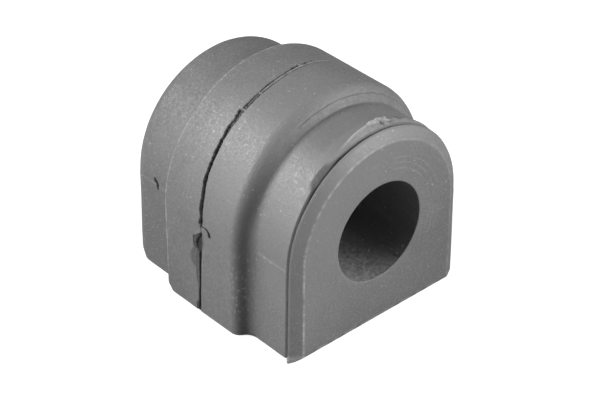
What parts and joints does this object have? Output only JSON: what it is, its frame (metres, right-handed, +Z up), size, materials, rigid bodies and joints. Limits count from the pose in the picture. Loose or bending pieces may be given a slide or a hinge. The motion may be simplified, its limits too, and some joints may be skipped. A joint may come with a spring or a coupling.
{
  "type": "stabiliser bar bush",
  "caption": "Moulded rubber D-section bush with a raised clamping band and a round bore that holds a stabiliser bar under a strap.",
  "frame": {"origin": "centre of the flat base", "axes": "+Z up from the flat base through the bore, Y along the bore, with the parting lip on the end that faces -Y"},
  "size_m": [0.0562, 0.0542, 0.0511],
  "materials": {
    "rubber": "matt moulded rubber, slightly mottled, with torn flash at the parting lines"
  },
  "bodies": {
    "root": {"bush": "rubber"}
  },
  "joints": []
}
